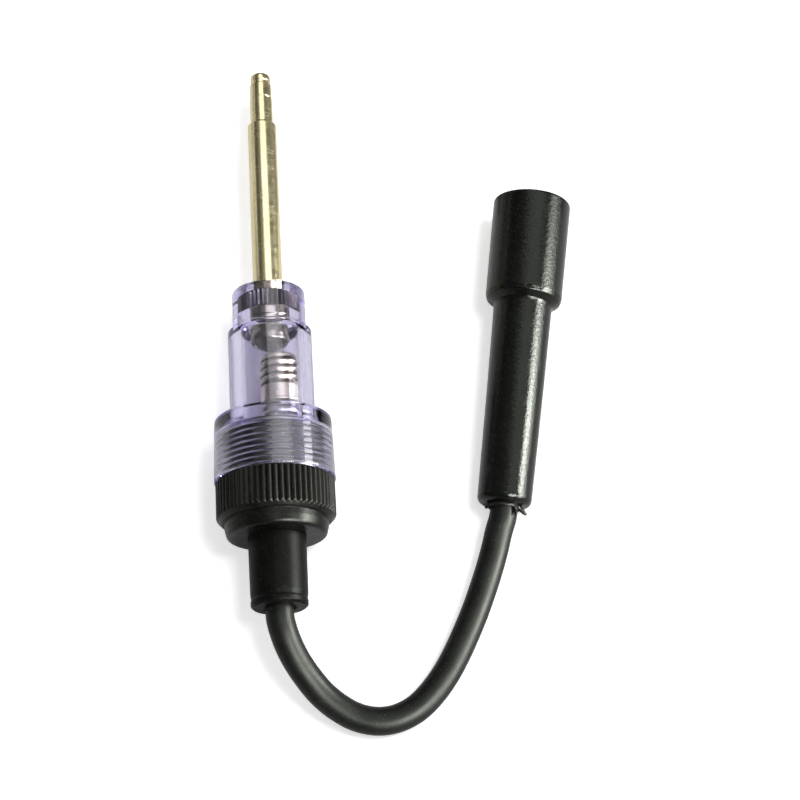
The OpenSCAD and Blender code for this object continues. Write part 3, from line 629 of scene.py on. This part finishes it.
liner_profile = outline(
    (3.0, LINER_LIP_END, 0.06), (3.5, LINER_LIP_END, 0.18), (3.52, -0.3, 0.1),
    (LINER_LIP_R, 0.1), (LINER_LIP_R, 0.6, 0.1), (LINER_R, 0.97), (LINER_R, LINER_TOP - 0.02),
    *[(LEAD_HOLE_R, station) for station in (LINER_TOP - 0.02, 0.6, 0.1, -0.3)],
)
liner = lathe("liner", liner_profile, BOOT, around=240, shape=liner_shape)
settle(liner)
place(liner, "cap", "liner_rubber", LINER_BLACK, "boot_liner")

# The solids that show as they are
for name, material in (
    ("socket_terminal", ZINC), ("snap_ring", STEEL), ("lead_terminal", BRASS),
    ("electrode_left", WIRE), ("electrode_right", WIRE),
):
    coat(nodes[name], material)

# The cap and its sleeve
# The V grooves between the ribs rise from their root by RIB_SLOPE for each mm sideways.
RIBS = 60
RIB_ROOT_R, RIB_SLOPE = 11.80, 1.032
PITCH = 1.25
SPIGOT_THREAD = 0.25


def thread(station, angle):
    """0 to 1 across a right-hand screw thread. The cap and the housing share it, so they run together."""
    return 0.5 + 0.5 * np.cos(angle - station / PITCH * TURN)


def off_groove(angle, count):
    """The angle from the nearest of so many grooves."""
    beat = TURN / count
    return np.abs((angle / beat + 0.5) % 1 - 0.5) * beat


def soft_least(a, b, width):
    h = np.clip(0.5 + 0.5 * (b - a) / width, 0, 1)
    return b + (a - b) * h - width * h * (1 - h)


def cap_shape(radius, station, angle):
    """Cuts the soft V grooves between the ribs, and the spigot's thread."""
    depth = RIB_ROOT_R + RIB_SLOPE * off_groove(angle, RIBS) * RIBS_R
    root = RIB_ROOT_R - 0.1
    ribbed = soft_least(radius, np.sqrt((depth - root) ** 2 + 0.12 ** 2) + root, 0.14)
    ring = (radius > 11.3) & (station < 0.01)
    spigot = (radius > SPIGOT_R - 0.5) & (station > 0.25)
    screw = np.where(spigot, SPIGOT_THREAD * smoothstep(0.3, 1.0, station) * thread(station, angle), 0)
    return np.where(ring, np.minimum(ribbed, radius), radius - screw), station


PLUG_HOLE_R, PLUG_TOP, CRIMP_HOLE_R = 4.52, -5.5, 3.595
cap_profile = outline(
    # The bore and the hole for the lead
    (CAP_BORE_R, SPIGOT_TOP, 0.25), (CAP_BORE_R, 4.3), (CRIMP_HOLE_R, 4.3), (CRIMP_HOLE_R, -3.9),
    (LEAD_HOLE_R, -3.9), (LEAD_HOLE_R, PLUG_TOP), (PLUG_HOLE_R, PLUG_TOP), (PLUG_HOLE_R, CAP_BOTTOM, 0.1),
    # The lip
    (LIP_R - 0.45, CAP_BOTTOM, 1.1), (LIP_R, CAP_BOTTOM + 1.9, 1.6), (LIP_R, CAP_LIP, 0.12),
    # The ribbed ring
    (11.15, CAP_LIP, 0.12), *fine((11.3, CAP_LIP + 0.05), (RIBS_R, CAP_LIP + 1.05), 0.12),
    (RIBS_R, CAP_LIP + 1.2), *fine((RIBS_R, CAP_LIP + 1.2), (RIBS_R, -0.5), 1.1), (RIBS_R, -0.45, 0.15),
    # The spigot
    (11.8, 0, 0.15), (SPIGOT_R, 0, 0.08), *fine((SPIGOT_R, 0.25), (SPIGOT_R, SPIGOT_TOP - 0.4), 0.13),
    (SPIGOT_R - 0.5, SPIGOT_TOP, 0.1),
)
cap = lathe("cap", cap_profile, BODY, around=600, shape=cap_shape)
place(cap, "cap", "black_plastic", CAP_BLACK, "knurled_cap")

sleeve_profile = outline(
    # The plug that holds it in the cap
    (LEAD_HOLE_R, PLUG_TOP - 0.02), (PLUG_HOLE_R - 0.02, PLUG_TOP - 0.02),
    (PLUG_HOLE_R - 0.02, CAP_BOTTOM - 0.02), (5.95, CAP_BOTTOM - 0.02, 0.1),
    # The shallow groove near the end
    (5.84, SLEEVE_END + 2.8, 0.2), (5.73, SLEEVE_END + 2.1, 0.1), (5.69, SLEEVE_END + 1.85, 0.1),
    (5.69, SLEEVE_END + 1.6, 0.1), (5.82, SLEEVE_END + 1.35, 0.2), (5.8, SLEEVE_END + 0.45, 0.3),
    # The end, round the lead
    (5.3, SLEEVE_END, 0.2), (3.5, SLEEVE_END, 0.25), (LEAD_HOLE_R, SLEEVE_END + 0.6, 0.2),
)
sleeve = lathe("sleeve", sleeve_profile, BODY, around=160)
place(sleeve, "cap", "sleeve_plastic", SLEEVE_BLACK, "neck_sleeve")

# The rod
SHANK_RIBS = 30
SHANK_RIB_DEPTH, SHANK_GROOVE_HALF = 0.35, 0.095


def shank_groove(station, angle):
    """How deep the shank's knurl is cut, in mm. A groove's half width is an angle."""
    low = smoothstep(KNURL_LOW, KNURL_LOW + 0.3, station)
    high = smoothstep(KNURL_HIGH + 0.02, KNURL_HIGH - 0.33, station)
    return SHANK_RIB_DEPTH * np.clip(1 - off_groove(angle, SHANK_RIBS) / SHANK_GROOVE_HALF, 0, 1) * low * high


def rod_shape(radius, station, angle):
    shank = (radius > SHANK_R - 0.5) & (radius < SHANK_R + 0.01)
    return radius - shank_groove(station, angle) * shank, station


rod_profile = outline(
    # The nose, and the groove between it and the ring
    (0, CONE_END), (0.5, CONE_END, 0.2), (SHANK_R, NOSE_END, 0.4), (SHANK_R, RING_LOW - 0.8, 0.12),
    (SHANK_R - 0.35, RING_LOW - 0.8, 0.1), (SHANK_R - 0.35, RING_LOW, 0.1), (SHANK_R, RING_LOW, 0.12),
    # The ring, and the fine groove between it and the knurl
    (SHANK_R, KNURL_LOW - 0.3, 0.06), (SHANK_R - 0.2, KNURL_LOW - 0.22), (SHANK_R - 0.2, KNURL_LOW - 0.1),
    (SHANK_R, KNURL_LOW - 0.02, 0.04),
    # The knurl and the neck above it
    *fine((SHANK_R, KNURL_LOW), (SHANK_R, KNURL_HIGH - 0.1), 0.12), (SHANK_R, KNURL_HIGH, 0.1),
    (ROD_NECK_R, KNURL_HIGH), (ROD_NECK_R, COLLAR_TOP),
    # The plain rod
    (ROD_R, COLLAR_TOP), (ROD_R, ROD_SHOULDER - 0.5, 0.35), (2.68, ROD_SHOULDER, 0.15),
    (TIP_R, ROD_SHOULDER, 0.08),
    # The tip, with its band, groove and head
    (TIP_R, BAND_LOW - 0.15, 0.08), (BAND_R - 0.06, BAND_LOW - 0.05, 0.03), (BAND_R, BAND_LOW + 0.08, 0.05),
    (BAND_R, BAND_HIGH - 0.15, 0.12), (TIP_GROOVE_R, BAND_HIGH + 0.05, 0.15), (TIP_GROOVE_R, HEAD_LOW, 0.1),
    (HEAD_R, HEAD_LOW + 0.1, 0.1), (HEAD_R, TIP_END, 1.45), (0, TIP_END),
    loop=False,
)
rod = lathe("rod", rod_profile, BODY, around=360, loop=False, shape=rod_shape)
place(rod, "housing", "rod_plating", PLATING, "terminal_rod")

# The clear housing
# The mould's seams run along it at this angle and opposite to it.
SEAM = math.radians(-43)
SEAM_HEIGHT, SEAM_WIDTH = 0.035, 0.11
FLANGE_THREAD, RING_DEPTH = 0.24, 0.02
NECK_HOLE_R, KNURL_HOLE_R, RING_HOLE_R = ROD_NECK_R + 0.02, SHANK_R + 0.02, SHANK_R + 0.1


def housing_shape(radius, station, angle):
    """Cuts the flange's thread and the faint rings outside it, and raises the mould's two seams. The collar
    is moulded onto the rod's knurl, so there its bore lies a hair inside the metal, with no air between."""
    turn = thread(station, angle)
    held = (radius > SHANK_R - 0.5) & (radius < RING_HOLE_R) & (station > KNURL_LOW - 0.2)
    bore = (np.abs(radius - FLANGE_BORE_R) < 0.1) & (station > 0.25) & (station < FLANGE_BORE_END - 0.2)
    screw = FLANGE_THREAD * turn * smoothstep(0.35, 1.0, station)
    screw = screw * smoothstep(FLANGE_BORE_END - 0.2, FLANGE_BORE_END - 1, station)
    rings = RING_DEPTH * turn * smoothstep(0.8, 2.0, station)
    rings = rings * smoothstep(FLANGE_TOP - 0.8, FLANGE_TOP - 2.8, station)
    socket = (radius < FLANGE_BORE_R + 0.2) & (station < FLANGE_BORE_END + 0.2)
    outside = (radius > COLLAR_R - 0.15) & (station > 0.3) & ~socket
    seam = 0
    for at in (SEAM, SEAM + math.pi):
        off = ((angle - at + math.pi) % TURN - math.pi) * radius
        seam = seam + np.exp(-((off / SEAM_WIDTH) ** 2))
    cut = held * (0.05 + shank_groove(station, angle)) + bore * screw + (radius > 11.5) * rings
    return radius - cut + outside * SEAM_HEIGHT * seam, station


housing_profile = outline(
    # The flange
    (10.8, 0, 0.12), (RIM_R, 0, 0.2), (RIM_R, 0.6, 0.15),
    *fine((RIM_R, 0.6), (FLANGE_R, FLANGE_TOP), 0.14)[1:-6], (FLANGE_R, FLANGE_TOP, 0.6),
    # The barrel and the collar
    (BARREL_R, FLANGE_TOP, 0.3), (BARREL_R, SHOULDER, 0.6),
    (COLLAR_R, SHOULDER, 0.2), (COLLAR_R, COLLAR_TOP, 0.6),
    # The hole for the rod
    (NECK_HOLE_R, COLLAR_TOP, 0.1), (NECK_HOLE_R, KNURL_HIGH + 0.02), (KNURL_HOLE_R, KNURL_HIGH + 0.02),
    *fine((KNURL_HOLE_R, KNURL_HIGH), (KNURL_HOLE_R, KNURL_LOW - 0.1), 0.12), (RING_HOLE_R, KNURL_LOW - 0.25),
    # The lamp's chamber
    (RING_HOLE_R, BORE_END + 1.3), (4.8, BORE_END + 1.3, 0.2), (CHAMBER_R, BORE_END, 0.4),
    (CHAMBER_R, FLANGE_BORE_END + 0.5), (CHAMBER_R + 0.5, FLANGE_BORE_END),
    # The flange's bore
    (FLANGE_BORE_R, FLANGE_BORE_END, 0.1),
    *fine((FLANGE_BORE_R, FLANGE_BORE_END - 0.2), (FLANGE_BORE_R, 0.3), 0.13), (FLANGE_BORE_R, 0.25),
)
housing = lathe("housing", housing_profile, BODY, around=360, shape=housing_shape)
place(housing, "housing", "clear_plastic", CLEAR, "clear_housing")

# The lamp
RIDGE_PITCH, RIDGE_TURNS, RIDGE_HEIGHT = 1.68, 3.25, 0.4
RIDGE_START = SKIRT_TOP + (SHELL_THREAD - RIDGE_TURNS * RIDGE_PITCH) / 2


def shell_shape(radius, station, angle):
    """Rolls one thread into the shell, as a soft wave that fades at its two ends."""
    turns = angle / TURN
    k = np.round((station - RIDGE_START) / RIDGE_PITCH - turns)
    along = np.clip(turns + k, 0, RIDGE_TURNS)
    past_end = np.abs(turns + k - along) * TURN * SHELL_R
    off = np.hypot(station - (RIDGE_START + along * RIDGE_PITCH), past_end)
    ridge = RIDGE_HEIGHT * np.cos(math.pi * np.clip(off / RIDGE_PITCH, 0, 0.5)) ** 2
    outer = (radius > SHELL_R - 0.15) & (station > SKIRT_TOP - 0.05)
    return radius + outer * ridge, station


SHELL_IN_R, BULB_HOLE_R, INSULATOR_R = 3.35, BULB_R + 0.02, 2.2
shell_profile = outline(
    # The rim and the skirt
    (BULB_HOLE_R, LAMP_BOTTOM), (LAMP_RIM_R, LAMP_BOTTOM, 0.12), (LAMP_RIM_R, RIM_TOP, 0.12),
    (SKIRT_R, RIM_TOP + 0.2, 0.1), (SKIRT_R, SKIRT_TOP - 0.2, 0.15),
    # The thread and the rounded top
    (SHELL_R, SKIRT_TOP - 0.02, 0.1), *fine((SHELL_R, SKIRT_TOP), (SHELL_R, THREAD_TOP - 0.1), 0.08),
    (SHELL_R, SHELL_TOP, 1.2), (INSULATOR_R, SHELL_TOP, 0.15),
    # The inside
    (INSULATOR_R, THREAD_TOP + 0.3), (SHELL_IN_R, THREAD_TOP - 0.3, 0.3), (SHELL_IN_R, LAMP_BOTTOM + 1),
    (BULB_HOLE_R, LAMP_BOTTOM + 1),
)
shell = lathe("shell", shell_profile, LAMP, around=160, shape=shell_shape, keen=50)
place(shell, "lamp", "nickel", NICKEL, "lamp_shell")

insulator_profile = outline(
    (0, SHELL_TOP - 0.02), (INSULATOR_R - 0.2, SHELL_TOP - 0.02), (INSULATOR_R, SHELL_TOP + 0.15, 0.1),
    (INSULATOR_R - 0.3, SHELL_TOP + 0.45, 0.2), (0, SHELL_TOP + 0.45),
    loop=False,
)
insulator = lathe("insulator", insulator_profile, LAMP, around=72, loop=False)
place(insulator, "lamp", "dark_glass", DARK_GLASS, "lamp_insulator")

contact_low, contact_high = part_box("lamp_contact")
DOME_R = (contact_high.x - contact_low.x) / 2 / MM
STUB_R, STUB_STATION = 0.6 * DOME_R, station_of(contact_low)
DOME_STATION = station_of(contact_high) - DOME_R
contact_profile = outline(
    (0, STUB_STATION), (STUB_R, STUB_STATION), (STUB_R, DOME_STATION), (DOME_R, DOME_STATION, 0.05),
    *arc((0, DOME_STATION), DOME_R, DOME_R, math.degrees(0.1), math.degrees(1.5), 14),
    (0, DOME_STATION + DOME_R),
    loop=False,
)
contact = lathe("contact", contact_profile, LAMP, around=72, loop=False)
place(contact, "lamp", "solder", SOLDER, "lamp_contact")

bulb_low, bulb_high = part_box("lamp_bulb")
BULB_TIP, BULB_TOP = station_of(bulb_low), station_of(bulb_high)
bulb_profile = outline(
    (0, BULB_TOP), (BULB_R, BULB_TOP, 0.6), (BULB_R, BULB_TIP + 1.6, 1.6),
    (0.7, BULB_TIP + 0.35, 0.4), (0.28, BULB_TIP, 0.15), (0, BULB_TIP),
    loop=False,
)
bulb = lathe("bulb", bulb_profile, LAMP, around=96, loop=False)
place(bulb, "lamp", "bulb_glass", BULB_GLASS, "lamp_bulb")

# The spring under the lamp
WIRE_R, COIL_R, COIL_TURNS, COIL_GAP = 0.55, 3.55, 6.25, 0.05
POINTS_A_TURN = 48
coil_low, coil_high = SEAT + WIRE_R + COIL_GAP, LAMP_BOTTOM - WIRE_R - COIL_GAP
turn = np.linspace(0, COIL_TURNS, round(COIL_TURNS * POINTS_A_TURN) + 1)
rise = coil_low + (coil_high - coil_low) * turn / COIL_TURNS
coil = np.stack([COIL_R * np.cos(turn * TURN), COIL_R * np.sin(turn * TURN), rise], -1) * MM
spring = tube("spring", coil, LAMP, radius=WIRE_R * MM, sides=14)
place(spring, None, "spring_steel", STEEL, "lamp_spring")
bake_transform(spring)


# Floor and light
def panel(name, centre, facing, width, height):
    """An upright or tilted sheet of the studio, not part of the object."""
    mesh = bpy.data.meshes.new(name)
    w, h = width / 2, height / 2
    mesh.from_pydata([(-w, -h, 0), (w, -h, 0), (w, h, 0), (-w, h, 0)], [], [(0, 1, 2, 3)])
    obj = bpy.data.objects.new(name, mesh)
    scene.collection.objects.link(obj)
    obj.location = centre
    obj.rotation_euler = Vector(facing).to_track_quat("Z", "Y").to_euler()
    return obj


def by_ray(tree, otherwise, **strengths):
    """A strength that differs for the rays that see the backdrop itself: camera, glossy or transmission."""
    path = tree.nodes.new("ShaderNodeLightPath")
    total = otherwise
    for kind, strength in strengths.items():
        choose = tree.nodes.new("ShaderNodeMix")
        tree.links.new(path.outputs[f"Is {kind.title()} Ray"], choose.inputs[0])
        for socket, value in zip(choose.inputs[2:4], (total, strength)):
            if isinstance(value, bpy.types.NodeSocket):
                tree.links.new(value, socket)
            else:
                socket.default_value = value
        total = choose.outputs[0]
    return total


world = bpy.data.worlds.new("studio")
scene.world = world
world.use_nodes = True
sky = world.node_tree.nodes["Background"]
sky.inputs["Color"].default_value = (1, 1, 1, 1)
sky_strength = by_ray(world.node_tree, 0.5, glossy=1.0, transmission=1.0, camera=1.0)
world.node_tree.links.new(sky_strength, sky.inputs["Strength"])

# White paper, which the camera sees a little brighter far away, so that no horizon shows
floor = panel("floor", (0, 0, 0), (0, 0, 1), width=6, height=6)
paper = Paint("floor", Roughness=0.9, Specular_IOR_Level=0.1)
grain = paper.noise(paper.coords("Object", 40, 40, 40), scale=1, detail=4, roughness=0.6)
glow = paper.remap(paper.reach(), 250, 900, 0.49, 0.62)
paper.set(
    Base_Color=paper.mix(paper.remap(grain, 0.3, 0.7, 0, 1), (0.84, 0.84, 0.84), (0.855, 0.855, 0.85)),
    Emission_Color=(1, 1, 1),
    Emission_Strength=by_ray(paper.tree, 0.0, glossy=0.0, transmission=0.04, camera=glow),
)
floor.data.materials.append(paper.material)

# Grey sheets that only reflections and refractions see
for name, centre, facing, width, height, grey in (
    ("flag_left", (-0.62, -0.31, 0.58), (1, 0, 0), 1.28, 1.16, 0.16),
    ("flag_left_back", (-0.62, 0.79, 0.58), (1, 0, 0), 0.92, 0.56, 0.12),
    ("flag_low", (-0.62, 0.56, 0.1), (1, 0, 0), 0.3, 0.2, 0.10),
    ("flag_back", (-0.1, 0.95, 0.42), (0, -1, 0), 1.1, 0.84, 0.10),
    ("flag_right", (0.72, 0.66, 0.58), (-0.7, -0.7, 0), 0.81, 1.15, 0.18),
    ("flag_front", (0.0, -0.62, 0.85), (0, 1, -0.8), 1.0, 0.8, 0.08),
    ("flag_front_left", (-0.47, -0.62, 0.27), (0, 1, 0), 1.06, 0.54, 0.08),
    ("ceiling", (0.0, 0.4, 1.7), (0, 0, -1), 3.4, 3.2, 0.5),
    ("flag_floor", (0.27, 0.27, 0.0005), (0, 0, 1), 0.5, 0.46, 0.22),
):
    flag = panel(name, centre, facing, width, height)
    cloth = Paint(name, Base_Color=(grey, grey, grey), Roughness=0.9, Specular_IOR_Level=0.0)
    flag.data.materials.append(cloth.material)
    flag.visible_camera = False
    flag.visible_diffuse = False
    flag.visible_shadow = False


def softbox(name, stand, at, width, height, radiance):
    """A rectangular light that shows only in highlights, unless its visibility is changed later."""
    light = bpy.data.objects.new(name, bpy.data.lights.new(name, "AREA"))
    scene.collection.objects.link(light)
    light.data.shape = "RECTANGLE"
    light.data.size = width
    light.data.size_y = height
    light.data.energy = radiance * math.pi * width * height
    light.visible_camera = False
    light.visible_diffuse = False
    aim(light, stand, at)
    return light


# A long strip on the right draws the streaks on the boot and the lead.
# It is dimmer between them and at its ends.
STRIP_X, STRIP_Z, STRIP_HIGH = 0.33, 0.13, 0.10
STRIP_AIM_X, STRIP_AIM_Z = 0.03, 0.01
for name, low, high, radiance in (
    ("strip_front", -0.32, -0.13, 30),
    ("strip_lead", -0.13, -0.075, 75),
    ("strip_lip", -0.075, -0.025, 22),
    ("strip_boot", -0.025, 0.03, 60),
    ("strip_back", 0.03, 0.06, 25),
    ("strip_end", 0.06, 0.125, 8),
):
    middle = (low + high) / 2
    at = (STRIP_AIM_X, middle, STRIP_AIM_Z)
    softbox(name, (STRIP_X, middle, STRIP_Z), at, high - low, STRIP_HIGH, radiance)
at = (STRIP_AIM_X, -0.04, STRIP_AIM_Z)
softbox("strip_low", (STRIP_X, -0.04, 0.042), at, width=0.22, height=0.08, radiance=11)

# The key casts the shadows and isn't reflected. The other boxes show only in highlights.
TESTER = (0.02, -0.01, 0.01)
softbox("overhead", (0.45, 0.5, 1.25), TESTER, width=1.7, height=0.7, radiance=1.9)
softbox("top", (0.04, -0.15, 1.3), TESTER, width=0.12, height=0.25, radiance=15)
softbox("front", (0.41, -0.556, 0.587), (0.025, -0.08, 0.0), width=0.5, height=0.4, radiance=40)
key = softbox("key", (0.38, -0.05, 1.1), TESTER, width=0.3, height=0.3, radiance=25)
key.visible_diffuse = True
key.visible_glossy = False
